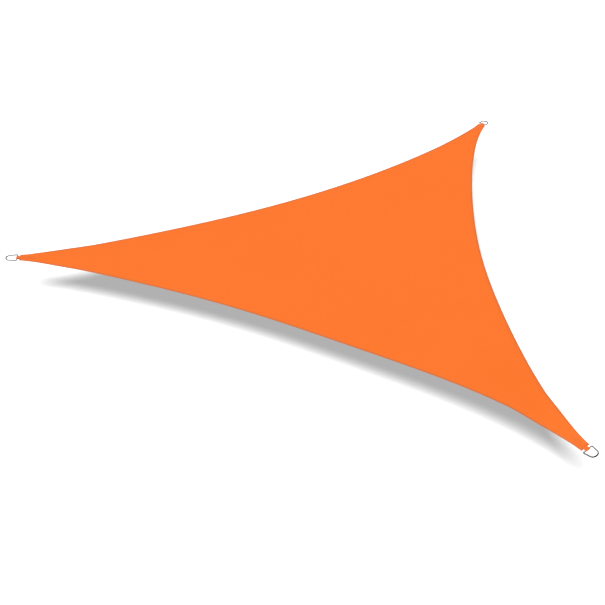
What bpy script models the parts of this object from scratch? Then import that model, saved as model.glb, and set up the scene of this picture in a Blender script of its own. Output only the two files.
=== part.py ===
"""A triangular shade sail: one cloth panel with three inward-curved, hemmed edges and a neck at each corner.

A webbing loop on each neck holds a D-shaped ring of round steel wire. The sail hangs by its three rings,
drawn tight. It sags a little between them, and each neck is twisted a little with its ring.

Units are metres, +Z is up. The origin is the middle of the front ring's eye. The sail's middle lies behind it
and to its left: +X runs from the left corner to the right edge, +Y from the front corner to the back one.
"""

from math import acos, atan2, cos, hypot, pi, radians, sin, sqrt
from typing import NamedTuple

import bmesh
import bpy
import numpy as np
from mathutils import Euler, Matrix, Vector

# The cloth panel
SIDE = 3.0  # between the points where the chords of neighbouring edges meet
HALF_CORNER = radians(30)  # between a corner's middle line and the chord of an edge beside it
SAG = 0.025  # how far the sail's middle hangs below its necks
NECK_FLARE = 0.026  # how far an edge turns outwards where it runs into the neck
NECK_REACH = 0.11  # the length over which that turn fades by a factor of e
TWIST_HOLD = 0.09  # the length of neck that turns as one with its ring
TWIST_FADE = 0.30  # the length over which the twist dies away after that
CLOTH_THICKNESS = 0.0012
HEM_THICKNESS = 0.0020
HEM_WIDTH = 0.025
HEM_STEP = 0.003  # the width over which the panel thickens into its hem
NECK_HEM_SHARE = 0.70  # a hem's share of the half width, where the neck is too narrow for the full hem
NECK_STEP_SHARE = 0.15  # the step's share of the hem, where the hem is too narrow for the full step

# The webbing loops
WEBBING_WIDTH = 0.020
WEBBING_THICKNESS = 0.0015
LEG_LENGTH = 0.085  # how far each leg reaches over the neck
SEWN_GAP = 0.00035  # between pieces that touch on the real sail

# The rings
WIRE_RADIUS = 0.003
RING_HALF_WIDTH = 0.0235  # middle of the ring to the middle of a leg's wire, at the bar
BOW_RADIUS = 0.0195  # to the middle of the bow's wire
RING_LENGTH = 0.058  # middle of the bar's wire to the middle of the bow's wire
RING_BEND = 0.005  # bend radius between the bar and a leg
BAR_DISTANCE = 0.0125  # end of the neck to the middle of the bar's wire

# How finely the shapes are divided
CELLS_ALONG = 20  # from a neck's end to the middle of the edge beside it
CELLS_ACROSS = 5  # from the middle line to the hem, on each side
CROWDING = 1.5  # over 1 crowds the divisions towards the neck
BOW_STEPS = 20
BEND_STEPS = 5
WRAP_STEPS = 12
SLOPE_STEPS = 4
WIRE_RESOLUTION = 4  # gives the round section of the wire 12 sides
MERGE_DISTANCE = 0.00002  # joins the three corner grids along their shared lines

# Distances from the sail's middle
CORNER_RADIUS = SIDE / sqrt(3)
TIP_RADIUS = CORNER_RADIUS + NECK_FLARE * sin(HALF_CORNER)


class Corner(NamedTuple):
    """One corner of the sail, and how its neck and its ring are turned."""

    name: str
    azimuth: float  # from +X, seen from the sail's middle
    twist: float  # of the neck about its own length
    tilt: float  # of the ring about its bar, downwards


class Edge(NamedTuple):
    """One edge of the panel, between two corners, and how far it curves inwards from their chord."""

    start: Corner
    end: Corner
    bow: float  # depth of the even curve at mid-chord
    waves: tuple  # depths of the waves that two, three, four and five half waves to the chord add to it


LEFT = Corner("left", radians(180), twist=radians(-6), tilt=radians(3))
BACK = Corner("back", radians(60), twist=radians(4), tilt=radians(9))
FRONT = Corner("front", radians(-60), twist=radians(22), tilt=radians(-10))
CORNERS = (LEFT, BACK, FRONT)

EDGES = (
    Edge(LEFT, BACK, bow=0.168, waves=(-0.012, -0.003, -0.001, 0.0)),
    Edge(BACK, FRONT, bow=0.206, waves=(0.003, 0.001, 0.0, 0.002)),
    Edge(FRONT, LEFT, bow=0.183, waves=(0.010, 0.007, 0.007, 0.001)),
)


def clear_scene() -> None:
    """Removes every object of the scene."""
    for obj in list(bpy.data.objects):
        bpy.data.objects.remove(obj, do_unlink=True)


def make_material(name: str, colour: tuple, roughness: float, metallic: float) -> bpy.types.Material:
    """Makes a plain Principled material."""
    material = bpy.data.materials.new(name)
    material.use_nodes = True
    shader = material.node_tree.nodes["Principled BSDF"]
    shader.inputs["Base Color"].default_value = (*colour, 1.0)
    shader.inputs["Roughness"].default_value = roughness
    shader.inputs["Metallic"].default_value = metallic
    return material


def outwards(corner: Corner) -> np.ndarray:
    """The level unit vector from the sail's middle to a corner."""
    return np.array([cos(corner.azimuth), sin(corner.azimuth)])


def edge_points(edge: Edge, share: np.ndarray) -> np.ndarray:
    """Points on an edge seen from above, at these shares of its chord.

    The inward depth is bow times an even parabola, plus the sine waves, less a flare that dies away
    exponentially from each corner.
    """
    start = CORNER_RADIUS * outwards(edge.start)
    end = CORNER_RADIUS * outwards(edge.end)
    along = (end - start) / SIDE
    inwards = -(start + end) / np.linalg.norm(start + end)
    distance = share * SIDE
    flare = NECK_FLARE * (np.exp(-distance / NECK_REACH) + np.exp((distance - SIDE) / NECK_REACH))
    depth = edge.bow * 4 * share * (1 - share) - flare
    for half_waves, wave in enumerate(edge.waves, start=2):
        depth += wave * np.sin(half_waves * pi * share)
    return start + np.outer(distance, along) + np.outer(depth, inwards)


def sag_height(points: np.ndarray) -> np.ndarray:
    """The height of the cloth at these points: a shallow round bowl that meets the ends of the necks."""
    return -SAG * (1 - (points**2).sum(axis=-1) / TIP_RADIUS**2)


def distances_across(half_width: np.ndarray) -> np.ndarray:
    """Distances from the middle line of every column, for each half width: panel cells, step and hem."""
    hem = np.minimum(HEM_WIDTH, NECK_HEM_SHARE * half_width)
    step = np.minimum(HEM_STEP, NECK_STEP_SHARE * hem)
    panel = half_width - hem - step
    columns = [panel * column / CELLS_ACROSS for column in range(CELLS_ACROSS + 1)]
    return np.stack([*columns, half_width - hem, half_width], axis=-1)


def corner_matrix(corner: Corner, twist: float) -> Matrix:
    """The frame of a corner: origin at the end of the neck, X outwards along the cloth, turned about X."""
    slope = 2 * SAG / TIP_RADIUS
    turned = Euler((twist, -slope, corner.azimuth)).to_matrix().to_4x4()
    return Matrix.Translation((*TIP_RADIUS * outwards(corner), 0)) @ turned


def twisted(corner: Corner, points: np.ndarray) -> np.ndarray:
    """These points of the panel, turned about the length of a corner's neck.

    The whole twist holds along the neck, and it fades smoothly to nothing behind it.
    """
    frame = np.array(corner_matrix(corner, twist=0.0))
    axes, origin = frame[:3, :3], frame[:3, 3]
    along, side, height = np.moveaxis((points - origin) @ axes, -1, 0)
    fade = np.clip((-along - TWIST_HOLD) / TWIST_FADE, 0, 1)
    turn = corner.twist * (1 - fade**2 * (3 - 2 * fade))
    turned_side = side * np.cos(turn) - height * np.sin(turn)
    turned_height = side * np.sin(turn) + height * np.cos(turn)
    return np.stack([along, turned_side, turned_height], axis=-1) @ axes.T + origin


def corner_grid(corner: Corner) -> np.ndarray:
    """The third of the sail around one corner, as points by row and column.

    The rows run across from edge to edge. The first is the end of the neck, and the last one bends at the
    sail's middle. The middle line starts halfway between the two edges and drifts to the sail's middle.
    """
    row_share = np.linspace(0, 1, CELLS_ALONG + 1) ** CROWDING
    leaving = next(edge for edge in EDGES if edge.start == corner)
    arriving = next(edge for edge in EDGES if edge.end == corner)
    sides = (edge_points(arriving, 1 - row_share / 2), edge_points(leaving, row_share / 2))
    halfway = (sides[0] + sides[1]) / 2
    middle = halfway - np.outer(row_share**2, halfway[-1])
    halves = []
    for side in sides:
        width = np.linalg.norm(side - middle, axis=1)
        direction = (side - middle) / width[:, None]
        halves.append(middle[:, None] + distances_across(width)[..., None] * direction[:, None])
    plan = np.concatenate([halves[0][:, :0:-1], halves[1]], axis=1)
    return twisted(corner, np.concatenate([plan, sag_height(plan)[..., None]], axis=-1))


def add_cloth(collection, parent, material) -> None:
    """The panel: three corner grids joined into one sheet, thickened, with a thicker hem along every edge."""
    sheet = bmesh.new()
    weights = sheet.verts.layers.deform.verify()
    columns = CELLS_ACROSS + 2
    for corner in CORNERS:
        points = corner_grid(corner)
        grid = bmesh.ops.create_grid(sheet, x_segments=CELLS_ALONG, y_segments=2 * columns, size=1)
        for vertex in grid["verts"]:
            row = round((vertex.co.x + 1) / 2 * CELLS_ALONG)
            column = round(vertex.co.y * columns)
            vertex.co = points[row, column + columns]
            vertex[weights][0] = float(abs(column) > CELLS_ACROSS)
    bmesh.ops.remove_doubles(sheet, verts=sheet.verts, dist=MERGE_DISTANCE)
    mesh = bpy.data.meshes.new("sail_cloth")
    sheet.to_mesh(mesh)
    sheet.free()
    mesh.shade_smooth()
    mesh.materials.append(material)
    cloth = bpy.data.objects.new("sail_cloth", mesh)
    cloth.vertex_groups.new(name="hem")
    cloth.parent = parent
    collection.objects.link(cloth)
    thickness = cloth.modifiers.new("thickness", "SOLIDIFY")
    thickness.thickness = HEM_THICKNESS
    thickness.offset = 0
    thickness.vertex_group = "hem"
    thickness.thickness_vertex_group = CLOTH_THICKNESS / HEM_THICKNESS


def arc(centre: tuple, radius: float, start: float, end: float, steps: int) -> list:
    """Points along an arc in a plane, both ends included."""
    angles = [start + (end - start) * step / steps for step in range(steps + 1)]
    return [(centre[0] + radius * cos(a), centre[1] + radius * sin(a)) for a in angles]


def poly_curve(name: str, points: list, closed: bool) -> bpy.types.Curve:
    """A flat curve of straight stretches through these points."""
    curve = bpy.data.curves.new(name, "CURVE")
    curve.dimensions = "2D"
    curve.fill_mode = "NONE"
    spline = curve.splines.new("POLY")
    spline.points.add(len(points) - 1)
    for point, (x, y) in zip(spline.points, points):
        point.co = (x, y, 0, 1)
    spline.use_cyclic_u = closed
    return curve


def ring_outline() -> list:
    """The middle of a ring's wire, with the bar on the Y axis: bar, bend, leg, round bow, leg, bend.

    A leg is the straight line that touches the circle of its bend and the circle of the bow.
    """
    bend_y = RING_HALF_WIDTH - RING_BEND
    bow_x = RING_LENGTH - BOW_RADIUS
    run = bow_x - RING_BEND
    leg_angle = acos((RING_BEND - BOW_RADIUS) / hypot(run, bend_y)) - atan2(bend_y, run)
    return [
        *arc((RING_BEND, -bend_y), RING_BEND, -pi, -leg_angle, BEND_STEPS),
        *arc((bow_x, 0), BOW_RADIUS, -leg_angle, leg_angle, BOW_STEPS),
        *arc((RING_BEND, bend_y), RING_BEND, leg_angle, pi, BEND_STEPS),
    ]


def add_ring(corner: Corner, collection, parent, material) -> None:
    """The D-shaped ring of a corner, tilted about its bar, which lies inside the webbing loop."""
    curve = poly_curve(f"ring_{corner.name}", ring_outline(), closed=True)
    curve.dimensions = "3D"
    curve.fill_mode = "FULL"
    curve.bevel_depth = WIRE_RADIUS
    curve.bevel_resolution = WIRE_RESOLUTION
    curve.materials.append(material)
    ring = bpy.data.objects.new(curve.name, curve)
    ring.location.x = BAR_DISTANCE
    ring.rotation_euler.y = corner.tilt
    ring.parent = parent
    collection.objects.link(ring)


def loop_outline() -> list:
    """The middle of the webbing, seen from its edge: over the neck, round the bar and back under the neck."""
    leg_height = HEM_THICKNESS / 2 + SEWN_GAP + WEBBING_THICKNESS / 2
    wrap_radius = WIRE_RADIUS + SEWN_GAP + WEBBING_THICKNESS / 2
    upper = [(-LEG_LENGTH, leg_height)]
    for step in range(SLOPE_STEPS):
        share = step / SLOPE_STEPS
        eased = (1 - cos(pi * share)) / 2
        upper.append((BAR_DISTANCE * share, leg_height + (wrap_radius - leg_height) * eased))
    lower = [(x, -z) for x, z in reversed(upper)]
    wrap = arc((BAR_DISTANCE, 0), wrap_radius, pi / 2, -pi / 2, WRAP_STEPS)
    return [*upper, *wrap, *lower]


def add_webbing_loop(corner: Corner, collection, parent, material) -> None:
    """The strap of a corner, folded round the ring's bar, with a leg on each face of the neck."""
    curve = poly_curve(f"webbing_loop_{corner.name}", loop_outline(), closed=False)
    curve.extrude = WEBBING_WIDTH / 2
    curve.materials.append(material)
    loop = bpy.data.objects.new(curve.name, curve)
    loop.rotation_euler = (pi / 2, 0, 0)
    loop.parent = parent
    collection.objects.link(loop)
    thickness = loop.modifiers.new("thickness", "SOLIDIFY")
    thickness.thickness = WEBBING_THICKNESS
    thickness.offset = 0
    thickness.use_even_offset = True


def eye_middle(corner: Corner) -> Vector:
    """The middle of a ring's eye: half the ring's length beyond the bar, along the tilted ring."""
    reach = RING_LENGTH / 2
    place = Vector((BAR_DISTANCE + reach * cos(corner.tilt), 0, -reach * sin(corner.tilt)))
    return corner_matrix(corner, corner.twist) @ place


def add_empty(name: str, matrix: Matrix, collection, parent=None) -> bpy.types.Object:
    """An empty that carries other objects, placed in its parent's frame."""
    empty = bpy.data.objects.new(name, None)
    empty.parent = parent
    empty.matrix_local = matrix
    collection.objects.link(empty)
    return empty


def main() -> None:
    """Builds the sail with the middle of the front ring's eye at the origin."""
    clear_scene()
    collection = bpy.data.collections.new("shade_sail")
    bpy.context.scene.collection.children.link(collection)
    cloth_orange = make_material("orange_polyester", (0.99, 0.195, 0.032), roughness=0.65, metallic=0.0)
    webbing_orange = make_material("orange_webbing", (0.90, 0.170, 0.030), roughness=0.75, metallic=0.0)
    steel = make_material("polished_steel", (0.50, 0.50, 0.51), roughness=0.18, metallic=1.0)

    sail_frame = add_empty("sail_frame", Matrix.Translation(-eye_middle(FRONT)), collection)
    add_cloth(collection, sail_frame, cloth_orange)
    for corner in CORNERS:
        turned = corner_matrix(corner, corner.twist)
        corner_frame = add_empty(f"corner_{corner.name}", turned, collection, sail_frame)
        add_webbing_loop(corner, collection, corner_frame, webbing_orange)
        add_ring(corner, collection, corner_frame, steel)


main()
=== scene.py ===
"""Dresses the triangular shade sail: cloth panel, hem seams, webbing straps and steel rings, in a studio.

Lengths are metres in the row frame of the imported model: +Z is up and the front ring's eye is the origin.
The sail is drawn tight between its three rings, so its shape is worked out from the plan of its edges and
a shallow sag, and each piece is a surface computed from two parameters.
"""

import logging
from dataclasses import dataclass, field
from enum import Enum
from math import acos, atan2, cos, hypot, pi, radians, sin, sqrt

import bmesh
import bpy
import numpy as np
from mathutils import Euler, Matrix, Vector

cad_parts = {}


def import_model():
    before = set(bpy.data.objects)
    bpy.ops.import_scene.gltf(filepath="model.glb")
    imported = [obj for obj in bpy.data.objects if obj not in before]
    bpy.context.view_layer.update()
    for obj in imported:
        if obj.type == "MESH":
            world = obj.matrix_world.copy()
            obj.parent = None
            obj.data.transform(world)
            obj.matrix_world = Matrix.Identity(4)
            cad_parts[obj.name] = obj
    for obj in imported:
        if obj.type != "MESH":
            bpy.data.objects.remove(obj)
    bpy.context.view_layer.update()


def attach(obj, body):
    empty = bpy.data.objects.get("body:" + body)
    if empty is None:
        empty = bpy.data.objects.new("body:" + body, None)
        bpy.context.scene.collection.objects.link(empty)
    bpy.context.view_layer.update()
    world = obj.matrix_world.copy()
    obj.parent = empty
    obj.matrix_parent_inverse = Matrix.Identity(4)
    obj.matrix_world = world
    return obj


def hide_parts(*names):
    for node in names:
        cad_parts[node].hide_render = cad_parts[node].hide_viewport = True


Array = np.ndarray
Colour = tuple[float, float, float]
Piece = bpy.types.Object
Material = bpy.types.Material
Node = bpy.types.Node
NodeTree = bpy.types.NodeTree
Socket = bpy.types.NodeSocket
Value = float | Socket

LOG = logging.getLogger("shade_sail")
MERGE_DISTANCE = 0.000004  # joins the grids of one surface along their shared lines
MILLIMETRE = 0.001
HALF_CORNER = radians(30)  # between a corner's middle line and the chord of an edge beside it


class Corner(Enum):
    """The sail's corners, each with its azimuth, its neck's twist and its ring's tilt, in degrees."""

    LEFT = (180, -6, 3)
    BACK = (60, 4, 9)
    FRONT = (-60, 22, -10)

    def __init__(self, *degrees: float) -> None:
        """Keeps the angles in radians, with the level unit vector from the sail's middle to the corner.

        Args:
            degrees: The azimuth from +X, the turn of the neck and its ring about the neck's own length,
                and the ring's turn downwards about its bar.
        """
        self.azimuth, self.twist, self.tilt = (radians(angle) for angle in degrees)
        self.outwards = np.array([cos(self.azimuth), sin(self.azimuth)])

    @property
    def label(self) -> str:
        """The corner's name in lower case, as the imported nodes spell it."""
        return self.name.lower()


class Face(Enum):
    """The faces of the cloth, each with the sign of its offset along +Z."""

    TOP = 1
    UNDER = -1


# ---- Meshes ----


def new_object(name: str, data: bpy.types.ID) -> Piece:
    """Puts a new object in the scene.

    Args:
        name: Its name.
        data: The mesh, light or camera that it carries.

    Returns:
        The object.
    """
    made = bpy.data.objects.new(name, data)
    bpy.context.scene.collection.objects.link(made)
    return made


@dataclass
class SurfaceBuilder:
    """Collects grids of points into one closed mesh with named UV maps."""

    name: str
    map_names: tuple[str, ...] = ()
    points: list[Array] = field(default_factory=list)
    quads: list[Array] = field(default_factory=list)
    maps: list[list[Array]] = field(default_factory=list)

    def add_grid(self, points: Array, *maps: Array) -> None:
        """Adds a grid of points and the quads between neighbouring rows and columns.

        Args:
            points: Places by row and column.
            maps: One map per name in map_names, each with two numbers for every point.
        """
        rows, columns = points.shape[:2]
        number = np.arange(rows * columns).reshape(rows, columns)
        corners = [number[:-1, :-1], number[1:, :-1], number[1:, 1:], number[:-1, 1:]]
        self.add_quads(points.reshape(-1, 3), np.stack(corners, axis=-1).reshape(-1, 4), *maps)

    def add_quads(self, points: Array, quads: Array, *maps: Array) -> None:
        """Adds loose quads.

        Args:
            points: Places, one row for each point.
            quads: Four point numbers for each face, counted within these points.
            maps: As in add_grid.
        """
        start = sum(len(part) for part in self.points)
        self.points.append(points)
        self.quads.append(quads + start)
        self.maps.append([one.reshape(-1, 2) for one in maps])

    def build(self, material: Material, slot: str, node: str = "") -> Piece:
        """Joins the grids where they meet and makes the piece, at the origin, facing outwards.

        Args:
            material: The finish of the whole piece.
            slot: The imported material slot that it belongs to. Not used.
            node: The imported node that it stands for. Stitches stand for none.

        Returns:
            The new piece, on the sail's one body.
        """
        quads = np.concatenate(self.quads)
        mesh = bpy.data.meshes.new(self.name)
        mesh.from_pydata(np.concatenate(self.points), [], quads)
        for index, map_name in enumerate(self.map_names):
            values = np.concatenate([maps[index] for maps in self.maps])
            layer = mesh.uv_layers.new(name=map_name)
            layer.data.foreach_set("uv", values[quads.ravel()].astype(np.float32).ravel())
        shell = bmesh.new()
        shell.from_mesh(mesh)
        bmesh.ops.remove_doubles(shell, verts=shell.verts, dist=MERGE_DISTANCE)
        bmesh.ops.recalc_face_normals(shell, faces=shell.faces)
        shell.to_mesh(mesh)
        shell.free()
        mesh.shade_smooth()
        mesh.materials.append(material)
        piece = new_object(self.name, mesh)
        piece.visible_diffuse = False
        if node:
            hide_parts(node)
        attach(piece, "root")
        return piece


def smooth_step(value: Array) -> Array:
    """Rises from 0 to 1 as value goes from 0 to 1, level at both ends: three squares less two cubes."""
    inside = np.clip(value, 0, 1)
    return inside**2 * (3 - 2 * inside)


def rounded(distance: Array, radius: float) -> Array:
    """A quarter circle's height: 0 at the rim, 1 a radius inwards, as the root of 1 - (1 - d / r)^2."""
    inside = 1 - np.clip(distance / radius, 0, 1)
    return np.sqrt(1 - inside**2)


def rounding_places(radius: float, count: int) -> Array:
    """Distances from a rim, over one radius, at which the quarter circle's angle steps evenly."""
    return radius * (1 - np.cos(np.linspace(0, pi / 2, count)))


def paired(first: Array, second: Array) -> Array:
    """Two arrays side by side in a new last axis, each spread to the shape of both."""
    return np.stack(np.broadcast_arrays(first, second), axis=-1)


def arc(centre: tuple[float, float], radius: float, start: float, end: float, steps: int) -> Array:
    """Points along an arc, both ends included: the centre plus the radius turned to each angle."""
    angles = np.linspace(start, end, steps + 1)
    return np.asarray(centre) + radius * paired(np.cos(angles), np.sin(angles))


def distance_along(line: Array) -> Array:
    """How far along a line each of its points lies: the sum of the gaps before it."""
    return np.concatenate([[0], np.cumsum(np.linalg.norm(np.diff(line, axis=0), axis=1))])


def placed(matrix: Matrix, points: Array) -> Array:
    """Points carried from a local frame to the row frame: each turned by the matrix, then shifted by it."""
    turn = np.array(matrix.to_3x3())
    return points @ turn.T + np.array(matrix.translation)


def unit(vectors: Array) -> Array:
    """Vectors divided by their own lengths."""
    return vectors / np.linalg.norm(vectors, axis=-1, keepdims=True)


# ---- The sail's plan ----


@dataclass(frozen=True)
class EdgeCurve:
    """One edge of the panel, and how far it curves inwards from the chord between its corners.

    The waves are the depths that two, three, four and five half waves to the chord add to the even bow.
    """

    start: Corner
    end: Corner
    bow: float
    waves: tuple[float, ...]


@dataclass(frozen=True)
class SailPlan:
    """The sail seen from above and the height of its cloth, with the sail's middle as the origin."""

    side: float = 3.0
    sag: float = 0.025
    neck_flare: float = 0.026
    neck_reach: float = 0.11
    twist_hold: float = 0.09
    twist_fade: float = 0.30
    bar_distance: float = 0.0125
    ring_length: float = 0.058
    fold_height: float = 0.0011
    fold_reach: float = 0.17
    folds_per_turn: float = 15.0
    edges: tuple[EdgeCurve, ...] = (
        EdgeCurve(Corner.LEFT, Corner.BACK, bow=0.168, waves=(-0.012, -0.003, -0.001, 0.0)),
        EdgeCurve(Corner.BACK, Corner.FRONT, bow=0.206, waves=(0.003, 0.001, 0.0, 0.002)),
        EdgeCurve(Corner.FRONT, Corner.LEFT, bow=0.183, waves=(0.010, 0.007, 0.007, 0.001)),
    )

    @property
    def corner_radius(self) -> float:
        """Middle of the sail to the point where the chords of two edges meet."""
        return self.side / sqrt(3)

    @property
    def tip_radius(self) -> float:
        """Middle of the sail to the end of a neck."""
        return self.corner_radius + self.neck_flare * sin(HALF_CORNER)

    @property
    def middle(self) -> Vector:
        """The sail's middle in the row frame, which has its origin in the front ring's eye."""
        front = self.centred_corner(Corner.FRONT, Corner.FRONT.twist) @ self.ring_frame(Corner.FRONT)
        return -(front @ Vector((self.ring_length / 2, 0, 0)))

    def centred_corner(self, corner: Corner, twist: float) -> Matrix:
        """A corner's frame about the sail's middle: origin at the neck's end, X out along the cloth.

        Args:
            corner: The corner.
            twist: How far the frame is turned about its own X.

        Returns:
            The frame.
        """
        slope = 2 * self.sag / self.tip_radius
        turned = Euler((twist, -slope, corner.azimuth)).to_matrix().to_4x4()
        return Matrix.Translation((*self.tip_radius * corner.outwards, 0)) @ turned

    def corner_frame(self, corner: Corner) -> Matrix:
        """The frame of a twisted neck and its strap in the row frame."""
        return Matrix.Translation(self.middle) @ self.centred_corner(corner, corner.twist)

    def ring_frame(self, corner: Corner) -> Matrix:
        """A ring's frame within its corner: origin in the middle of the bar, X along the tilted ring."""
        return Matrix.Translation((self.bar_distance, 0, 0)) @ Matrix.Rotation(corner.tilt, 4, "Y")

    def twisted(self, corner: Corner, points: Array) -> Array:
        """Turns the cloth about the length of a corner's neck.

        The whole twist holds along the neck. It fades behind it as one minus a smooth step, and every
        section across the neck keeps its shape.

        Args:
            corner: The corner.
            points: Places about the sail's middle, in the third of the sail around this corner.

        Returns:
            The turned places.
        """
        frame = np.array(self.centred_corner(corner, 0.0))
        axes, origin = frame[:3, :3], frame[:3, 3]
        along, side, height = np.moveaxis((points - origin) @ axes, -1, 0)
        turn = corner.twist * (1 - smooth_step((-along - self.twist_hold) / self.twist_fade))
        turned_side = side * np.cos(turn) - height * np.sin(turn)
        turned_height = side * np.sin(turn) + height * np.cos(turn)
        return np.stack([along, turned_side, turned_height], axis=-1) @ axes.T + origin

    def edge_points(self, edge: EdgeCurve, share: Array) -> Array:
        """Points on an edge seen from above.

        The inward depth is bow times an even parabola, plus the sine waves, less a flare that dies away
        exponentially from each corner.

        Args:
            edge: The edge.
            share: Where on its chord each point lies, from 0 at its start to 1 at its end.

        Returns:
            Level places about the sail's middle, one row for each share.
        """
        start = self.corner_radius * edge.start.outwards
        end = self.corner_radius * edge.end.outwards
        along = (end - start) / self.side
        inwards = -(start + end) / np.linalg.norm(start + end)
        distance = share * self.side
        near_start = np.exp(-distance / self.neck_reach)
        near_end = np.exp((distance - self.side) / self.neck_reach)
        half_waves = pi * (2 + np.arange(len(edge.waves)))
        depth = (
            edge.bow * 4 * share * (1 - share)
            + np.sin(np.outer(share, half_waves)) @ np.array(edge.waves)
            - self.neck_flare * (near_start + near_end)
        )
        return start + np.outer(distance, along) + np.outer(depth, inwards)

    def halves(self, corner: Corner, row_share: Array) -> list[tuple[EdgeCurve, Array, Array, Array]]:
        """The rows of a corner's third of the sail, in two halves from its edges to its middle line.

        The middle line starts halfway between the edges and drifts with the square of the row's share to
        the sail's middle.

        Args:
            corner: The corner.
            row_share: 0 at the neck's end, 1 at the row that bends at the sail's middle.

        Returns:
            For each half its edge, where the rows meet it, where they meet the middle line, and how far
            along the edge's chord they lie.
        """
        arriving = next(edge for edge in self.edges if edge.end is corner)
        leaving = next(edge for edge in self.edges if edge.start is corner)
        before = self.edge_points(arriving, 1 - row_share / 2)
        after = self.edge_points(leaving, row_share / 2)
        half = np.array([0.5])
        last = (self.edge_points(arriving, half) + self.edge_points(leaving, half)) / 2
        middle = (before + after) / 2 - row_share[:, None] ** 2 * last
        travelled = row_share * self.side / 2
        return [(arriving, before, middle, self.side - travelled), (leaving, after, middle, travelled)]

    def height(self, points: Array) -> Array:
        """The height of the cloth: a shallow round bowl through the necks' ends, with soft folds.

        Each corner's folds fan out from the neck's end. Their height is a cosine of the angle about that
        end, times a swell that grows with the square of the distance and dies away exponentially.

        Args:
            points: Level places about the sail's middle.

        Returns:
            Heights above the necks' ends.
        """
        bowl = -self.sag * (1 - (points**2).sum(axis=-1) / self.tip_radius**2)
        folds = np.zeros_like(bowl)
        for number, corner in enumerate(Corner):
            offset = points - self.tip_radius * corner.outwards
            distance = np.linalg.norm(offset, axis=-1)
            sideways = offset @ np.array([-corner.outwards[1], corner.outwards[0]])
            inwards = -offset @ corner.outwards
            angle = np.arctan2(sideways, np.maximum(inwards, MILLIMETRE))
            reach = distance / self.fold_reach
            swell = reach**2 * np.exp(2 * (1 - reach))
            folds += self.fold_height * swell * np.cos((self.folds_per_turn + number) * angle + number)
        return bowl + folds


@dataclass(frozen=True)
class HemProfile:
    """The cloth's thickness by distance from its rim: a turned hem, the fold's edge, then one layer.

    The steps are the bands over which the hem's rise ends on each face, and the under one starts
    under_start past the hem's width. Columns crowd within seam_reach spreads of a seam.
    """

    width: float = 0.025
    neck_share: float = 0.45
    reach: float = 0.030
    rim_radius: float = 0.0007
    layer: float = 0.00025
    rise_top: float = 0.00022
    rise_under: float = 0.00062
    step_top: float = 0.004
    step_under: float = 0.0007
    under_start: float = 0.0004
    neck_half: float = 0.00115
    neck_length: float = 0.088
    neck_fade: float = 0.055
    seams: tuple[float, float] = (0.0032, 0.0208)
    seam_dip: float = 0.00018
    seam_spread: float = 0.0012
    seam_reach: float = 1.6
    pucker_height: float = 0.00016
    pucker_length: float = 0.074
    pucker_waver: float = 1.7
    waver_length: float = 0.41
    rim_columns: int = 6
    seam_columns: int = 7
    fold_columns: int = 5
    even_columns: int = 10

    def distances(self) -> Array:
        """Places the columns, crowded where the profile bends: at the rim, the seams and the fold's edge.

        Returns:
            Distances from the rim.
        """
        rim = rounding_places(self.rim_radius, self.rim_columns)
        bend = self.seam_reach * self.seam_spread * np.linspace(-1, 1, self.seam_columns)
        fold = self.width + MILLIMETRE * np.linspace(-0.3, 0.7, self.fold_columns)
        even = np.linspace(self.rim_radius, self.reach, self.even_columns)
        bends = [seam + bend for seam in self.seams]
        return np.unique(np.round(np.concatenate([rim, *bends, fold, even]), 5))

    def scale(self, half_width: Array) -> Array:
        """How far the hem is squeezed where the neck is too narrow for it: 1 along the rest of the edge."""
        return np.minimum(1, self.neck_share * half_width / self.width)

    def offset(self, face: Face, distance: Array, from_tip: Array) -> Array:
        """How far a face lies from the middle of the cloth's thickness.

        The hem adds a soft step on top and a sharp one below. Both seams press a round groove. Near the
        neck's end the layers are packed to one thickness, and the rim and the end are rounded to nothing.

        Args:
            face: Top or under.
            distance: Distance from the rim, before any squeeze.
            from_tip: Distance from the neck's end.

        Returns:
            Offsets along +Z, negative on the under face.
        """
        if face is Face.TOP:
            rise, start, step = self.rise_top, self.step_top / 2, self.step_top
        else:
            rise, start, step = self.rise_under, self.under_start, self.step_under
        body = self.layer + rise * smooth_step((self.width + start - distance) / step)
        for seam in self.seams:
            body = body - self.seam_dip * np.exp(-(((distance - seam) / self.seam_spread) ** 2))
        packed = 1 - smooth_step((from_tip - self.neck_length) / self.neck_fade)
        body = body + (self.neck_half - body) * packed
        return face.value * body * rounded(distance, self.rim_radius) * rounded(from_tip, self.rim_radius)

    def pucker(self, along: Array, distance: Array, half_width: Array) -> Array:
        """Low waves that a seam gathers into the hem: a sine along the edge that fades over its width.

        Args:
            along: Distance along the edge.
            distance: Distance from the rim.
            half_width: From the rim to the middle line, where the waves have died away.

        Returns:
            Heights.
        """
        waver = self.pucker_waver * np.sin(2 * pi * along / self.waver_length)
        wave = np.sin(2 * pi * along / self.pucker_length + waver)
        across = distance / half_width
        return self.pucker_height * wave * np.exp(-distance / self.width) * np.clip(1 - across, 0, 1) ** 2


# ---- Shader nodes ----


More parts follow.
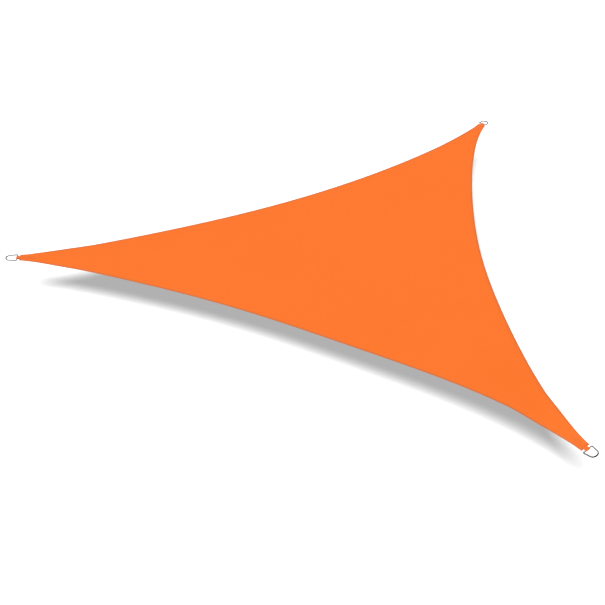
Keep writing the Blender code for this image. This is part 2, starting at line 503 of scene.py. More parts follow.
@dataclass
class Graph:
    """One node tree that is being wired: a material's, the world's or a group's."""

    tree: NodeTree

    def node(self, kind: str, inputs: dict[str | int, object] | None = None, **settings: object) -> Node:
        """Adds a node.

        Args:
            kind: Its type, without the ShaderNode at its front.
            inputs: Values or sockets for its inputs, by name or number.
            settings: Its properties.

        Returns:
            The new node.
        """
        made = self.tree.nodes.new(f"ShaderNode{kind}")
        for name, value in settings.items():
            setattr(made, name, value)
        for key, value in (inputs or {}).items():
            self.feed(value, made.inputs[key])
        return made

    def feed(self, value: object, socket: Socket) -> None:
        """Feeds an input.

        Args:
            value: A socket to link to it, or its own value.
            socket: The input.
        """
        if isinstance(value, Socket):
            self.tree.links.new(value, socket)
        else:
            socket.default_value = value

    def math(self, operation: str, *values: Value) -> Socket:
        """The result of one Math node."""
        return self.node("Math", dict(enumerate(values)), operation=operation).outputs[0]

    def blend(self, share: Value, first: object, second: object) -> Socket:
        """A colour between two others, by share."""
        return self.node("Mix", {"Factor": share, 6: first, 7: second}, data_type="RGBA").outputs[2]

    def ease(self, value: Value, low: float, high: float) -> Socket:
        """0 below low and 1 above high, smooth in between."""
        inputs = {"Value": value, "From Min": low, "From Max": high}
        return self.node("MapRange", inputs, interpolation_type="SMOOTHSTEP").outputs["Result"]

    def bump(self, height: Value, strength: float, distance: float) -> Node:
        """A node that tilts the normal by a height."""
        return self.node("Bump", {"Height": height, "Strength": strength, "Distance": distance})

    def effect(self, group: NodeTree, inputs: dict[str, object]) -> Node:
        """Places a node group with its own values."""
        return self.node("Group", inputs, node_tree=group)


def new_group(
    name: str, inputs: dict[str, str], outputs: dict[str, str]
) -> tuple[Graph, bpy.types.bpy_prop_collection, bpy.types.bpy_prop_collection]:
    """Starts a shader node group.

    Args:
        name: Its name.
        inputs: Socket types by socket name, without the NodeSocket at their front.
        outputs: The same for the outputs.

    Returns:
        Its graph, the sockets that bring its inputs and the sockets that take its results, by name.
    """
    tree = bpy.data.node_groups.new(name, "ShaderNodeTree")
    for direction, sockets in (("INPUT", inputs), ("OUTPUT", outputs)):
        for socket_name, kind in sockets.items():
            tree.interface.new_socket(socket_name, in_out=direction, socket_type=f"NodeSocket{kind}")
    return Graph(tree), tree.nodes.new("NodeGroupInput").outputs, tree.nodes.new("NodeGroupOutput").inputs


@dataclass(frozen=True)
class Effects:
    """The node groups that the finishes share, each built once."""

    weave: NodeTree
    fading: NodeTree
    wear: NodeTree

    @classmethod
    def build(cls) -> "Effects":
        """Builds every group."""
        return cls(cls.build_weave(), cls.build_fading(), cls.build_wear())

    @staticmethod
    def build_weave() -> NodeTree:
        """Plain weave: at every crossing the warp or the weft lies on top, by turns like a chequerboard.

        Each yarn's height is the absolute sine across it. A slow noise shifts the yarns a little, so that
        they are not all alike. The shade is painted shade that darkens the gaps between them.

        Returns:
            The group, with inputs Vector, Warp Count and Weft Count (yarns per metre) and Slub, and
            outputs Height and Shade.
        """
        graph, given, result = new_group(
            "plain_weave",
            {"Vector": "Vector", "Warp Count": "Float", "Weft Count": "Float", "Slub": "Float"},
            {"Height": "Float", "Shade": "Float"},
        )
        places = graph.node("SeparateXYZ", {"Vector": given["Vector"]})
        noise = graph.node("TexNoise", {"Vector": given["Vector"], "Scale": 60.0, "Detail": 2.0})
        shift = graph.math("MULTIPLY", graph.math("SUBTRACT", noise.outputs["Fac"], 0.5), given["Slub"])
        turns, heights = [], []
        for axis, count in (("X", "Warp Count"), ("Y", "Weft Count")):
            place = graph.math("MULTIPLY_ADD", places.outputs[axis], given[count], shift)
            turns.append(graph.math("FLOOR", place))
            heights.append(graph.math("ABSOLUTE", graph.math("SINE", graph.math("MULTIPLY", place, pi))))
        warp, weft = heights
        warp_on_top = graph.math("ABSOLUTE", graph.math("MODULO", graph.math("ADD", *turns), 2.0))
        height = graph.math("MULTIPLY_ADD", warp_on_top, graph.math("SUBTRACT", warp, weft), weft)
        graph.feed(height, result["Height"])
        # painted shade between the yarns: the gaps are darkened to 0.86 of the yarns' tops
        darkest, spread = 0.86, 0.14
        shade = graph.math("MULTIPLY_ADD", graph.ease(height, low=0.0, high=0.7), spread, darkest)
        graph.feed(shade, result["Shade"])
        return graph.tree

    @staticmethod
    def build_fading() -> NodeTree:
        """Cloudy colour variation: a soft noise mixes a colour with its faded shade.

        Returns:
            The group, with inputs Vector, Scale, Colour, Faded and Shade, and output Colour.
        """
        graph, given, result = new_group(
            "fading",
            {"Vector": "Vector", "Scale": "Float", "Colour": "Color", "Faded": "Color", "Shade": "Float"},
            {"Colour": "Color"},
        )
        settings = {"Vector": given["Vector"], "Scale": given["Scale"], "Detail": 5.0, "Roughness": 0.6}
        clouds = graph.ease(graph.node("TexNoise", settings).outputs["Fac"], low=0.3, high=0.7)
        mixed = graph.blend(clouds, given["Colour"], given["Faded"])
        shaded = graph.node("VectorMath", {0: mixed, "Scale": given["Shade"]}, operation="SCALE")
        graph.feed(shaded.outputs["Vector"], result["Colour"])
        return graph.tree

    @staticmethod
    def build_wear() -> NodeTree:
        """Handling marks: a broad noise with a fine one on it moves a value between its low and its high.

        Returns:
            The group, with inputs Vector, Scale, Low and High, and output Value.
        """
        graph, given, result = new_group(
            "handling_wear",
            {"Vector": "Vector", "Scale": "Float", "Low": "Float", "High": "Float"},
            {"Value": "Float"},
        )
        finer, fine_share = 9.0, 0.4
        vector, scale = given["Vector"], given["Scale"]
        broad = graph.node("TexNoise", {"Vector": vector, "Scale": scale, "Detail": 3.0}).outputs["Fac"]
        fine_scale = graph.math("MULTIPLY", scale, finer)
        fine = graph.node("TexNoise", {"Vector": vector, "Scale": fine_scale, "Detail": 4.0}).outputs["Fac"]
        broad_part = graph.math("MULTIPLY", broad, 1 - fine_share)
        both = graph.math("MULTIPLY_ADD", fine, fine_share, broad_part)
        marks = graph.ease(both, low=0.38, high=0.62)
        spread = graph.math("SUBTRACT", given["High"], given["Low"])
        graph.feed(graph.math("MULTIPLY_ADD", marks, spread, given["Low"]), result["Value"])
        return graph.tree


# ---- Finishes ----


@dataclass(frozen=True)
class Dressing:
    """A material in the making: its graph, its shader, its surface's places and the shared effects."""

    graph: Graph
    shader: Node
    places: Socket
    effects: Effects

    def give(self, value: object, name: str) -> None:
        """Feeds a value or a socket to one of the shader's inputs."""
        self.graph.feed(value, self.shader.inputs[name])

    def uv(self, name: str) -> Socket:
        """One of the surface's own maps."""
        return self.graph.node("UVMap", uv_map=name).outputs["UV"]

    def weave(self, uv: Socket, warp_count: float, weft_count: float, slub: float) -> Node:
        """The weave on a map: warp_count yarns to a metre of its first number, weft_count of its second."""
        inputs = {"Vector": uv, "Warp Count": warp_count, "Weft Count": weft_count, "Slub": slub}
        return self.graph.effect(self.effects.weave, inputs)


@dataclass(frozen=True)
class Finish:
    """What every finish has: a colour that clouds into a faded one, and a roughness that wear moves.

    The scales say how fine the clouds and the marks of wear are.
    """

    name: str
    colour: Colour
    faded: Colour
    roughness: float
    roughness_worn: float
    cloud_scale: float
    wear_scale: float
    specular: float = 0.5
    sheen: float = 0.0

    def build(self, effects: Effects) -> Material:
        """Builds the material: its worn roughness, its plain values, and then what its own kind adds.

        Args:
            effects: The shared node groups.

        Returns:
            The material.
        """
        material = bpy.data.materials.new(self.name)
        material.use_nodes = True
        graph = Graph(material.node_tree)
        places = graph.node("TexCoord").outputs["Object"]
        dressing = Dressing(graph, material.node_tree.nodes["Principled BSDF"], places, effects)
        limits = {"Low": self.roughness, "High": self.roughness_worn}
        worn = graph.effect(effects.wear, {"Vector": places, "Scale": self.wear_scale, **limits})
        dressing.give(worn.outputs["Value"], "Roughness")
        dressing.give(self.specular, "Specular IOR Level")
        dressing.give(self.sheen, "Sheen Weight")
        self.dress(dressing)
        return material

    def dress(self, dressing: Dressing) -> None:
        """Gives the shader the clouded colour, which is all that a plain finish adds."""
        dressing.give(self.clouded(dressing), "Base Color")

    def clouded(self, dressing: Dressing, shade: Value = 1.0) -> Socket:
        """The colour with its clouds.

        Args:
            dressing: The material in the making.
            shade: What the colour is multiplied by.

        Returns:
            The colour's socket.
        """
        colours = {"Colour": (*self.colour, 1), "Faded": (*self.faded, 1), "Shade": shade}
        inputs = {"Vector": dressing.places, "Scale": self.cloud_scale, **colours}
        return dressing.graph.effect(dressing.effects.fading, inputs).outputs["Colour"]


@dataclass(frozen=True)
class ClothFinish(Finish):
    """Fine, close-woven polyester with a dull sheen, and painted shade that makes it darker and browner
    along the hem's rim.
    """

    name: str = "sail_polyester"
    colour: Colour = (0.955, 0.1705, 0.0118)
    faded: Colour = (0.965, 0.1745, 0.0133)
    roughness: float = 0.62
    roughness_worn: float = 0.70
    cloud_scale: float = 1.4
    wear_scale: float = 6.0
    specular: float = 0.22
    sheen: float = 0.06
    sheen_roughness: float = 0.4
    sheen_tint: Colour = (1.0, 0.62, 0.42)
    hem: HemProfile = HemProfile()
    # painted shade: the darker, browner colour that the cloth turns to at the hem's rim, standing in for
    # shade on its rounding
    rim: Colour = (0.55, 0.150, 0.038)
    rim_shade_width: float = 0.018
    rim_shade_power: float = 1.6
    warps_per_metre: float = 1900.0
    wefts_per_metre: float = 1634.0
    slub: float = 0.5
    gather_length: float = 0.0105

    def dress(self, dressing: Dressing) -> None:
        """Gives the shader its colour, normal and sheen.

        The colour is the faded cloth with the weave's painted shade between the yarns, and painted shade
        that makes it darker in a narrow band along the rim. The normal carries the weave, and near each
        seam the short gathers that its stitches pull.

        Args:
            dressing: The material in the making.
        """
        graph = dressing.graph
        edge = graph.node("SeparateXYZ", {"Vector": dressing.uv("hem")}).outputs
        weave = dressing.weave(dressing.uv("grain"), self.warps_per_metre, self.wefts_per_metre, self.slub)
        # painted shade along the rim: darkest at the rim, gone a rim shade width inwards
        inside = graph.math("SUBTRACT", 1.0, graph.math("DIVIDE", edge["Y"], self.rim_shade_width))
        painted_rim_shade = graph.math("POWER", graph.math("MAXIMUM", inside, 0.0), self.rim_shade_power)
        # the cloth's colour carries the weave's painted shade between the yarns
        cloth = self.clouded(dressing, weave.outputs["Shade"])
        dressing.give(graph.blend(painted_rim_shade, cloth, (*self.rim, 1)), "Base Color")

        woven = graph.bump(weave.outputs["Height"], strength=0.5, distance=0.00012)
        gathers = self.gathers(graph, edge["X"], edge["Y"])
        gathered = graph.bump(gathers, strength=0.6, distance=0.0004)
        graph.feed(woven.outputs["Normal"], gathered.inputs["Normal"])
        dressing.give(gathered.outputs["Normal"], "Normal")
        dressing.give(self.sheen_roughness, "Sheen Roughness")
        dressing.give((*self.sheen_tint, 1), "Sheen Tint")

    def gathers(self, graph: Graph, along: Socket, distance: Socket) -> Socket:
        """The height of the gathers: a wavering sine along the edge, times a bell curve about each seam.

        Args:
            graph: The material's graph.
            along: Distance along the edge.
            distance: Distance from the rim.

        Returns:
            The height's socket.
        """
        noises_per_metre, waver, bell_width = 30.0, 9.0, 2.5 * self.hem.seam_spread
        place = graph.math("MULTIPLY", along, noises_per_metre)
        noise = graph.node("TexNoise", {"W": place, "Scale": 1.0}, noise_dimensions="1D").outputs["Fac"]
        shift = graph.math("MULTIPLY", noise, waver)
        wave = graph.math("SINE", graph.math("MULTIPLY_ADD", along, 2 * pi / self.gather_length, shift))
        bells = []
        for seam in self.hem.seams:
            steps = graph.math("DIVIDE", graph.math("SUBTRACT", distance, seam), bell_width)
            squared = graph.math("MULTIPLY", graph.math("MULTIPLY", steps, steps), -1.0)
            bells.append(graph.math("EXPONENT", squared))
        return graph.math("MULTIPLY", wave, graph.math("ADD", *bells))


@dataclass(frozen=True)
class WebbingFinish(Finish):
    """Flat polyester webbing: stout warp yarns along the strap, crossed by finer weft."""

    name: str = "sail_webbing"
    colour: Colour = (0.93, 0.166, 0.0115)
    faded: Colour = (0.96, 0.176, 0.0150)
    roughness: float = 0.66
    roughness_worn: float = 0.82
    cloud_scale: float = 45.0
    wear_scale: float = 60.0
    specular: float = 0.3
    sheen: float = 0.1
    warps_per_metre: float = 640.0
    wefts_per_metre: float = 520.0
    slub: float = 0.35

    def dress(self, dressing: Dressing) -> None:
        """Gives the shader its colour and normal, woven on the strap's map, which runs along and across it.

        Args:
            dressing: The material in the making.
        """
        weave = dressing.weave(dressing.uv("strap"), self.wefts_per_metre, self.warps_per_metre, self.slub)
        # the webbing's colour carries the weave's painted shade between the yarns
        dressing.give(self.clouded(dressing, weave.outputs["Shade"]), "Base Color")
        woven = dressing.graph.bump(weave.outputs["Height"], strength=0.9, distance=0.00035)
        dressing.give(woven.outputs["Normal"], "Normal")


@dataclass(frozen=True)
class ThreadFinish(Finish):
    """Bonded polyester sewing thread, glossier than the cloth and not quite alike from stitch to stitch."""

    name: str = "seam_thread"
    colour: Colour = (0.86, 0.20, 0.035)
    faded: Colour = (0.74, 0.15, 0.022)
    roughness: float = 0.38
    roughness_worn: float = 0.55
    cloud_scale: float = 180.0
    wear_scale: float = 150.0
    specular: float = 0.25


@dataclass(frozen=True)
class SteelFinish(Finish):
    """Drawn stainless wire, lightly scuffed by the fittings that it has carried, with a dull weld."""

    name: str = "ring_steel"
    colour: Colour = (0.62, 0.62, 0.63)
    faded: Colour = (0.50, 0.50, 0.51)
    roughness: float = 0.16
    roughness_worn: float = 0.34
    cloud_scale: float = 120.0
    wear_scale: float = 70.0
    weld: Colour = (0.045, 0.040, 0.038)
    weld_half: float = 0.018
    grain_stretch: tuple[float, float, float] = (60.0, 3.0, 1.0)

    def dress(self, dressing: Dressing) -> None:
        """Gives the shader metal with fine grain along the wire, cloudy scuffs and the weld's dark tint.

        The wire's own map runs round the wire and along it, from the middle of the bow, in metres.

        Args:
            dressing: The material in the making.
        """
        graph, wire = dressing.graph, dressing.uv("wire")
        from_bow = graph.math("ABSOLUTE", graph.node("SeparateXYZ", {"Vector": wire}).outputs["Y"])
        welded = graph.math("SUBTRACT", 1.0, graph.ease(from_bow, self.weld_half / 2, self.weld_half))
        dressing.give(graph.blend(welded, self.clouded(dressing), (*self.weld, 1)), "Base Color")
        stretched = graph.node("Mapping", {"Vector": wire, "Scale": self.grain_stretch}).outputs["Vector"]
        drawn = graph.node("TexNoise", {"Vector": stretched, "Scale": 40.0, "Detail": 3.0})
        grain = graph.bump(drawn.outputs["Fac"], strength=0.12, distance=0.0001)
        dressing.give(grain.outputs["Normal"], "Normal")
        dressing.give(1.0, "Metallic")


@dataclass(frozen=True)
class FloorFinish:
    """A matt pale studio floor."""

    colour: Colour = (0.80, 0.80, 0.80)
    roughness: float = 0.95

    def build(self) -> Material:
        """Builds the material, which has no texture.

        Returns:
            The material.
        """
        material = bpy.data.materials.new("studio_floor")
        material.use_nodes = True
        inputs = material.node_tree.nodes["Principled BSDF"].inputs
        inputs["Base Color"].default_value = (*self.colour, 1)
        inputs["Roughness"].default_value = self.roughness
        inputs["Specular IOR Level"].default_value = 0.0
        return material


# ---- Sewing ----

# A stitch's four square sections, by place along it in lengths, and by girth and lift in radii
STITCH_SECTIONS = np.array([(-0.5, 0.35, -0.3), (-0.3, 1.0, 0.55), (0.3, 1.0, 0.55), (0.5, 0.35, -0.3)])


@dataclass(frozen=True)
class Stitch:
    """One visible stitch of a lockstitch seam: thread that rises out of the cloth and dives back in."""

    pitch: float = 0.0050
    length: float = 0.0042
    radius: float = 0.00024

    def add_seam(self, surface: SurfaceBuilder, line: Array, up: Array) -> int:
        """Adds a row of equal stitches along a line on the cloth.

        Each corner of a section is the stitch's place, plus a distance along the seam, plus the section's
        girth turned about the seam, plus a lift along the cloth's normal that is greatest in the middle.

        Args:
            surface: The mesh that takes the stitches.
            line: Points along the seam, on the surface that it is sewn into.
            up: The way out of the cloth at each of these points.

        Returns:
            How many stitches were added.
        """
        travelled = distance_along(line)
        count = int(travelled[-1] // self.pitch)
        spare = travelled[-1] - count * self.pitch
        at = spare / 2 + self.pitch * (np.arange(count) + 0.5)

        def sample(values: Array, distance: Array) -> Array:
            """The values of the line's points, read at each distance along it."""
            return np.stack([np.interp(distance, travelled, column) for column in values.T], axis=-1)

        along = unit(sample(line, at + self.length / 2) - sample(line, at - self.length / 2))
        out = unit(sample(up, at))
        aside = unit(np.cross(out, along))
        station, girth, lift = STITCH_SECTIONS.T * np.array([[self.length], [self.radius], [self.radius]])
        turn = np.arange(4) * pi / 2 + pi / 4
        sideways = np.outer(girth, np.cos(turn))
        upwards = np.outer(girth, np.sin(turn)) + lift[:, None]
        corners = (
            sample(line, at)[:, None, None]
            + station[:, None, None] * along[:, None, None]
            + sideways[..., None] * aside[:, None, None]
            + upwards[..., None] * out[:, None, None]
        )
        number = np.arange(16).reshape(4, 4)
        following = np.roll(number, -1, axis=1)
        sides = np.stack([number[:-1], following[:-1], following[1:], number[1:]], axis=-1).reshape(-1, 4)
        one = np.concatenate([sides, [number[0, ::-1]], [number[-1]]])
        every = (np.arange(count) * number.size)[:, None, None] + one
        surface.add_quads(corners.reshape(-1, 3), every.reshape(-1, 4))
        return count


# ---- Pieces ----


@dataclass
class SailPanel:
    """The cloth: one closed shell made of six half thirds, each with a top and an under grid.

    The end rows lie in the neck end's rounding, and the others start row_gap roundings in.
    """

    plan: SailPlan
    hem: HemProfile
    rows: int = 118
    end_rows: int = 5
    row_gap: float = 1.5
    crowding: float = 1.35
    panel_columns: int = 14
    seam_steps: int = 420

    def row_shares(self) -> Array:
        """Places the rows from a neck's end to the sail's middle, crowded at the end and along the neck.

        Returns:
            Shares of the way.
        """
        end = rounding_places(self.hem.rim_radius, self.end_rows) / (self.plan.side / 2)
        rest = np.linspace(0, 1, self.rows) ** self.crowding
        return np.concatenate([end, rest[rest > self.row_gap * end[-1]]])

    def surface_points(
        self, corner: Corner, rim: Array, middle: Array, distance: Array, along: Array, face: Face
    ) -> Array:
        """Places on a face of the cloth, at distances from the rim along each row.

        Args:
            corner: The corner whose third of the sail the rows lie in.
            rim: Where the rows meet the edge, seen from above.
            middle: Where they meet the middle line.
            distance: Distances from the rim before the hem's squeeze, by row and column.
            along: Distance along the edge, for the puckers.
            face: Top or under.

        Returns:
            Places about the sail's middle, by row and column.
        """
        half_width = np.linalg.norm(middle - rim, axis=-1)
        true_distance = np.minimum(distance * self.hem.scale(half_width)[:, None], half_width[:, None])
        plan = rim[:, None] + true_distance[..., None] * unit(middle - rim)[:, None]
        from_tip = np.maximum(0, self.plan.tip_radius - plan @ corner.outwards)
        height = (
            self.plan.height(plan)
            + self.hem.pucker(along[:, None], true_distance, half_width[:, None])
            + self.hem.offset(face, distance, from_tip)
        )
        return self.plan.twisted(corner, np.concatenate([plan, height[..., None]], axis=-1))

    def add_half(
        self, surface: SurfaceBuilder, corner: Corner, rim: Array, middle: Array, along: Array
    ) -> None:
        """Adds both faces of the cloth between one edge of a corner and its middle line.

        Args:
            surface: The mesh that takes the grids.
            corner: The corner.
            rim: Where the rows meet the edge.
            middle: Where they meet the middle line.
            along: Distance along the edge of each row.
        """
        half_width = np.linalg.norm(middle - rim, axis=-1)
        columns = self.hem.distances()
        share = np.arange(1, self.panel_columns + 1) / self.panel_columns
        inner = columns[-1] + np.outer(half_width / self.hem.scale(half_width) - self.hem.reach, share)
        distance = np.concatenate([np.tile(columns, (len(rim), 1)), inner], axis=1)
        offset = np.array(self.plan.middle)
        for face in Face:
            points = self.surface_points(corner, rim, middle, distance, along, face)
            from_tip = np.maximum(0, self.plan.tip_radius - points[..., :2] @ corner.outwards)
            edge_map = paired(along[:, None], np.minimum(distance, from_tip))
            surface.add_grid(points + offset, points[..., :2], edge_map)

    def build(self, material: Material) -> Piece:
        """Builds the cloth panel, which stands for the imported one.

        Args:
            material: Its finish.

        Returns:
            The cloth.
        """
        surface = SurfaceBuilder("cloth_panel", ("grain", "hem"))
        for corner in Corner:
            for _, rim, middle, along in self.plan.halves(corner, self.row_shares()):
                self.add_half(surface, corner, rim, middle, along)
        return surface.build(material, "sail_polyester", "sail_cloth")

    def seam_line(self, edge: EdgeCurve, distance: float, start: float, face: Face) -> Array:
        """A seam's line on a face of the hem, from near one corner to near the next.

        Args:
            edge: The edge.
            distance: The seam's distance from the rim before the squeeze.
            start: How far from each corner it begins, along the chord.
            face: Top or under.

        Returns:
            Points in the row frame.
        """
        first = start / (self.plan.side / 2)
        share = first + (1 - first) * np.linspace(0, 1, self.seam_steps)
        column = np.full((self.seam_steps, 1), distance)
        first_half, last_half = (
            self.surface_points(corner, rim, middle, column, along, face)[:, 0]
            for corner in (edge.start, edge.end)
            for own_edge, rim, middle, along in self.plan.halves(corner, share)
            if own_edge is edge
        )
        return np.concatenate([first_half, last_half[-2::-1]]) + np.array(self.plan.middle)


@dataclass
class HemSeams:
    """Two rows of stitches along every edge, seen on both faces."""

    panel: SailPanel
    stitch: Stitch = Stitch()
    outer_start: float = 0.006
    inner_start: float = 0.118

    def build(self, face: Face, material: Material) -> Piece:
        """Builds the stitches of one face.

        Args:
            face: Top or under.
            material: Their finish.

        Returns:
            The stitches as one piece.
        """
        surface = SurfaceBuilder(f"hem_stitches_{face.name.lower()}")
        other = Face(-face.value)
        count = 0
        for edge in self.panel.plan.edges:
            for distance, start in zip(self.panel.hem.seams, (self.outer_start, self.inner_start)):
                line = self.panel.seam_line(edge, distance, start, face)
                up = line - self.panel.seam_line(edge, distance, start, other)
                count += self.stitch.add_seam(surface, line, up)
        LOG.info("%s: %d stitches", surface.name, count)
        return surface.build(material, "sail_polyester")


@dataclass
class Strap:
    """The webbing of one corner, folded round the ring's bar, with a sewn leg on each face of the neck."""

    plan: SailPlan
    corner: Corner
    width: float = 0.020
    thickness: float = 0.0015
    leg_length: float = 0.085
    leg_height: float = 0.00205
    wrap_radius: float = 0.0041
    box_start: float = -0.080
    box_end: float = -0.030
    box_half: float = 0.0070
    end_steps: int = 5
    leg_inset: float = 0.0025
    slope_inset: float = 0.002
    leg_steps: int = 34
    slope_steps: int = 12
    wrap_steps: int = 22
    face_steps: int = 25
    selvedge_steps: int = 9
    seam_steps: int = 30
    stitch: Stitch = Stitch(pitch=0.0036, length=0.0030, radius=0.00030)

    @property
    def cut_length(self) -> float:
        """The length of webbing in the strap: both legs, both slopes and the half turn round the bar."""
        return 2 * (self.leg_length + self.plan.bar_distance) + pi * self.wrap_radius

    def centre_line(self) -> Array:
        """The middle of the webbing seen from its edge: upper leg, eased slope, half turn, back below.

        The ends have extra points where the cut is rounded, and a leg's others keep its insets clear of
        them and of the slope, which is a half cosine wave.

        Returns:
            Points as X along the neck and Z up, in the corner's frame.
        """
        rounding = rounding_places(self.thickness / 2, self.end_steps)
        rest = np.linspace(self.leg_inset, self.leg_length - self.slope_inset, self.leg_steps)
        leg = np.concatenate([rounding, rest]) - self.leg_length
        share = np.linspace(0, 1, self.slope_steps)[:-1]
        rise = (self.wrap_radius - self.leg_height) * (1 - np.cos(pi * share)) / 2
        slope = paired(self.plan.bar_distance * share, self.leg_height + rise)
        upper = np.concatenate([paired(leg, self.leg_height), slope])
        wrap = arc((self.plan.bar_distance, 0), self.wrap_radius, pi / 2, -pi / 2, self.wrap_steps)
        return np.concatenate([upper, wrap, upper[::-1] * [1, -1]])

    def section(self) -> tuple[Array, Array]:
        """The outline of the cut webbing, flat between half-round selvedges.

        Returns:
            Places across the webbing and heights from its middle.
        """
        half, radius = self.width / 2, self.thickness / 2
        face = np.linspace(-1, 1, self.face_steps) * (half - radius)
        turn = np.linspace(pi / 2, -pi / 2, self.selvedge_steps)[1:-1]
        edge = half - radius + radius * np.cos(turn)
        sides = np.concatenate([face, edge, face[::-1], -edge, face[:1]])
        flat = np.full_like(face, radius)
        bend = radius * np.sin(turn)
        return sides, np.concatenate([flat, bend, -flat, -bend, flat[:1]])

    def build(self, material: Material) -> Piece:
        """Carries the section along the centre line, thinned to nothing in a quarter circle at both ends.

        Args:
            material: Its finish.

        Returns:
            The strap.
        """
        line = self.centre_line()
        travelled = distance_along(line)
        tangent = unit(np.gradient(line, axis=0))
        normal = paired(-tangent[:, 1], tangent[:, 0])
        side, heights = self.section()
        from_end = np.minimum(travelled, travelled[-1] - travelled)
        thinned = rounded(from_end, self.thickness / 2)[:, None] * heights
        across = line[:, None] + thinned[..., None] * normal[:, None]
        points = np.stack(np.broadcast_arrays(across[..., 0], side, across[..., 1]), axis=-1)
        surface = SurfaceBuilder(f"strap_{self.corner.label}", ("strap",))
        frame = self.plan.corner_frame(self.corner)
        surface.add_grid(placed(frame, points), paired(travelled[:, None], side))
        return surface.build(material, "sail_webbing", f"webbing_loop_{self.corner.label}")

    def build_stitches(self, material: Material) -> Piece:
        """Sews a box with a cross in it through both legs.

        Args:
            material: The thread's finish.

        Returns:
            The stitches of both faces as one piece.
        """
        frame = self.plan.corner_frame(self.corner)
        surface = SurfaceBuilder(f"strap_stitches_{self.corner.label}")
        corners = [(x, y) for x in (self.box_start, self.box_end) for y in (-self.box_half, self.box_half)]
        pairs = [(0, 1), (1, 3), (3, 2), (2, 0), (0, 3), (1, 2)]
        share = np.linspace(0, 1, self.seam_steps)[:, None]
        for face in Face:
            level = face.value * (self.leg_height + self.thickness / 2)
            up = np.array(frame.to_3x3() @ Vector((0, 0, face.value)))
            for first, second in pairs:
                ends = np.array([(*corners[first], level), (*corners[second], level)])
                line = ends[0] + share * (ends[1] - ends[0])
                self.stitch.add_seam(surface, placed(frame, line), np.broadcast_to(up, line.shape))
        return surface.build(material, "sail_webbing")


@dataclass
class WireRing:
    """The D-shaped ring of one corner: a straight bar, two converging legs and a bow of round wire."""

    plan: SailPlan
    corner: Corner
    wire_radius: float = 0.003
    half_width: float = 0.0235
    bow_radius: float = 0.0195
    bend: float = 0.005
    weld_swell: float = 0.08
    weld_spread: float = 0.0025
    sides: int = 28
    bend_steps: int = 12
    bow_steps: int = 72

    def centre_line(self) -> Array:
        """The middle of the wire with the bar on the Y axis, closed: bend, bow, bend, back along the bar.

        A leg is the straight line that touches the circle of its bend and the circle of the bow.

        Returns:
            Points in the ring's plane.
        """
        side = self.half_width - self.bend
        bow = self.plan.ring_length - self.bow_radius
        run = bow - self.bend
        leg_angle = acos((self.bend - self.bow_radius) / hypot(run, side)) - atan2(side, run)
        line = np.concatenate(
            [
                arc((self.bend, -side), self.bend, -pi, -leg_angle, self.bend_steps),
                arc((bow, 0), self.bow_radius, -leg_angle, leg_angle, self.bow_steps),
                arc((self.bend, side), self.bend, leg_angle, pi, self.bend_steps),
            ]
        )
        return np.concatenate([line, line[:1]])

    def build(self, material: Material) -> Piece:
        """Carries a circle along the wire's centre line, square to it.

        Each point is the line's place, plus the radius times the cosine along the line's own level normal,
        plus the radius times the sine along Z. The radius swells in a bell curve at the weld, in the
        middle of the bow.

        Args:
            material: Its finish.

        Returns:
            The ring.
        """
        line = self.centre_line()
        closed = np.concatenate([line[-2:-1], line, line[1:2]])
        tangent = unit(closed[2:] - closed[:-2])
        normal = paired(tangent[:, 1], -tangent[:, 0])
        travelled = distance_along(line)
        from_bow = travelled - travelled[-2] / 2
        radius = self.wire_radius * (1 + self.weld_swell * np.exp(-((from_bow / self.weld_spread) ** 2)))
        turn = np.linspace(0, 2 * pi, self.sides + 1)
        level = line[:, None] + np.outer(radius, np.cos(turn))[..., None] * normal[:, None]
        height = np.outer(radius, np.sin(turn))
        points = np.concatenate([level, height[..., None]], axis=-1)
        surface = SurfaceBuilder(f"wire_ring_{self.corner.label}", ("wire",))
        frame = self.plan.corner_frame(self.corner) @ self.plan.ring_frame(self.corner)
        surface.add_grid(placed(frame, points), paired(turn * self.wire_radius, from_bow[:, None]))
        return surface.build(material, "ring_steel", f"ring_{self.corner.label}")


# ---- Studio ----


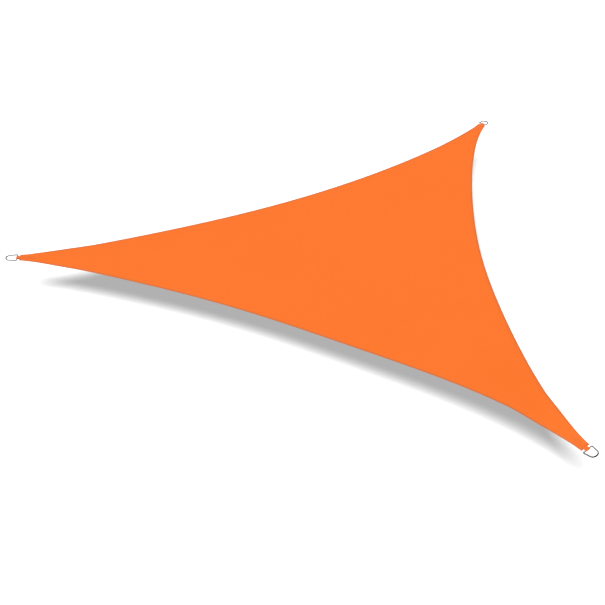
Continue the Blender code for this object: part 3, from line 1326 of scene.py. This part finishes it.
@dataclass
class Studio:
    """A pale floor close below the sail, a broad light overhead, a small one beside it and an even sky.

    The lamps' levels are the light that a level white surface gets. The sky's are its brightness, as
    light, as the camera sees it, and mirrored in metal near the horizon and overhead. The fill's place and
    aim are measured from the sail's middle.
    """

    plan: SailPlan
    floor_drop: float = 0.154
    floor_half: float = 30.0
    sky_level: float = 0.55
    seen_level: float = 1.05
    mirrored_low: float = 0.14
    mirrored_high: float = 1.00
    horizon: float = 0.25
    lamp_level: float = 0.56
    floor_level: float = 0.71
    lamp_angle: float = radians(52.5)
    lamp_lean: float = radians(17)
    lamp_height: float = 4.0
    fill_power: float = 16.0
    fill_place: tuple[float, float, float] = (1.45, 1.15, 0.45)
    fill_aim: tuple[float, float, float] = (0.90, 1.15, 0.0)
    fill_angle: float = radians(100)

    def build_floor(self) -> Piece:
        """Lays the floor, which no ring mirrors.

        Returns:
            The floor.
        """
        half, level = self.floor_half, self.plan.middle.z - self.floor_drop
        mesh = bpy.data.meshes.new("studio_floor")
        corners = [(-half, -half, level), (half, -half, level), (half, half, level), (-half, half, level)]
        mesh.from_pydata(corners, [], [(0, 1, 2, 3)])
        mesh.materials.append(FloorFinish().build())
        floor = new_object("studio_floor", mesh)
        floor.visible_glossy = False
        return floor

    @staticmethod
    def hang(light: bpy.types.Light, place: Vector, turn: Euler, lit: list[Piece]) -> Piece:
        """Hangs a lamp that lights only some objects, though all the others throw shadows too.

        Args:
            light: The light that it gives.
            place: Where it hangs.
            turn: How it is turned, from shining straight down.
            lit: The objects that it lights.

        Returns:
            The lamp.
        """
        light.cycles.use_multiple_importance_sampling = False
        lamp = new_object(light.name, light)
        lamp.location = place
        lamp.rotation_euler = turn
        receivers = bpy.data.collections.new(f"{light.name}_receivers")
        for piece in lit:
            receivers.objects.link(piece)
        lamp.light_linking.receiver_collection = receivers
        return lamp

    def build_softbox(self, name: str, level: float, lit: list[Piece]) -> Piece:
        """Hangs a broad light overhead and a little to the left, wide enough to soften the shadow's edge.

        Args:
            name: Its name.
            level: The light that it gives a level white surface.
            lit: The objects that it lights.

        Returns:
            The lamp.
        """
        light = bpy.data.lights.new(name, "SUN")
        light.energy = pi * level
        light.angle = self.lamp_angle
        return self.hang(light, Vector((0, 0, self.lamp_height)), Euler((0, -self.lamp_lean, 0)), lit)

    def build_fill(self, lit: list[Piece]) -> Piece:
        """Hangs a small lamp to the right, which clears the shadow from the floor beside the back neck.

        Args:
            lit: The objects that it lights.

        Returns:
            The lamp.
        """
        light = bpy.data.lights.new("side_fill", "SPOT")
        light.energy = self.fill_power
        light.spot_size, light.spot_blend = self.fill_angle, 1.0
        place = Vector(self.fill_place)
        aim = Vector(self.fill_aim) - place - Vector((0, 0, self.floor_drop))
        return self.hang(light, self.plan.middle + place, aim.to_track_quat("-Z", "Y").to_euler(), lit)

    def build_sky(self) -> bpy.types.World:
        """Lights the room evenly. Mirrored in metal, it darkens towards the horizon as dark walls would.

        Returns:
            The world.
        """
        world = bpy.data.worlds.new("studio_sky")
        world.use_nodes = True
        graph = Graph(world.node_tree)
        background = world.node_tree.nodes["Background"]
        ray = graph.node("LightPath").outputs
        direction = graph.node("SeparateXYZ", {"Vector": graph.node("TexCoord").outputs["Generated"]})
        rise = graph.ease(direction.outputs["Z"], self.horizon, 1.0)
        spread = self.mirrored_high - self.mirrored_low
        mirrored = graph.math("MULTIPLY_ADD", rise, spread, self.mirrored_low)
        darker = graph.math("SUBTRACT", mirrored, self.sky_level)
        glossy = graph.math("MULTIPLY", ray["Is Glossy Ray"], darker)
        seen = graph.math("MULTIPLY", ray["Is Camera Ray"], self.seen_level - self.sky_level)
        level = graph.math("ADD", graph.math("ADD", glossy, seen), self.sky_level)
        graph.feed(level, background.inputs["Strength"])
        background.inputs["Color"].default_value = (1, 1, 1, 1)
        world.cycles.sampling_method = "NONE"
        bpy.context.scene.world = world
        return world


@dataclass
class PhotoCamera:
    """The camera at the photograph's angle, aimed at a point of the sail's plane."""

    plan: SailPlan
    azimuth: float = radians(-90.92)
    elevation: float = radians(34.65)
    distance: float = 5.727
    focal_pixels: float = 1169.6
    image_pixels: float = 605.0
    sensor_width: float = 36.0
    target: tuple[float, float, float] = (-0.285, -0.433, 0.0)

    def build(self) -> Piece:
        """Places the camera: back from the target by the distance, along its azimuth and elevation.

        Returns:
            The camera.
        """
        level = cos(self.elevation)
        back = Vector((level * cos(self.azimuth), level * sin(self.azimuth), sin(self.elevation)))
        data = bpy.data.cameras.new("photo_camera")
        data.sensor_width = self.sensor_width
        data.lens = self.sensor_width * self.focal_pixels / self.image_pixels
        data.clip_start, data.clip_end = 0.05, 200.0
        camera = new_object("photo_camera", data)
        camera.location = self.plan.middle + Vector(self.target) + self.distance * back
        camera.rotation_euler = (-back).to_track_quat("-Z", "Y").to_euler()
        bpy.context.scene.camera = camera
        return camera


def main() -> None:
    """Builds the studio and every piece of the sail."""
    logging.basicConfig(level=logging.INFO, format="%(message)s")
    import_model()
    plan, hem = SailPlan(), HemProfile()
    effects = Effects.build()

    PhotoCamera(plan).build()
    studio = Studio(plan)
    floor = studio.build_floor()
    studio.build_sky()
    bpy.context.scene.view_settings.view_transform = "Standard"

    webbing = WebbingFinish().build(effects)
    thread = ThreadFinish().build(effects)
    steel = SteelFinish().build(effects)
    straps, sewing = [], []
    for corner in Corner:
        ring = WireRing(plan, corner).build(steel)
        maker = Strap(plan, corner)
        strap = maker.build(webbing)
        stitches = maker.build_stitches(thread)
        straps.append(strap)
        sewing.append(stitches)
        LOG.info("%s, %s and %s", ring.name, strap.name, stitches.name)

    panel = SailPanel(plan, hem)
    cloth = panel.build(ClothFinish(hem=hem).build(effects))
    LOG.info("%s: %d faces", cloth.name, len(cloth.data.polygons))
    seams = [HemSeams(panel).build(face, thread) for face in Face]
    [strap.name for strap in straps]
    studio.build_softbox("overhead_softbox", studio.lamp_level, [floor, cloth, *straps, *sewing, *seams])
    studio.build_softbox("floor_softbox", studio.floor_level, [floor])
    studio.build_fill([floor])


if __name__ == "__main__":
    main()
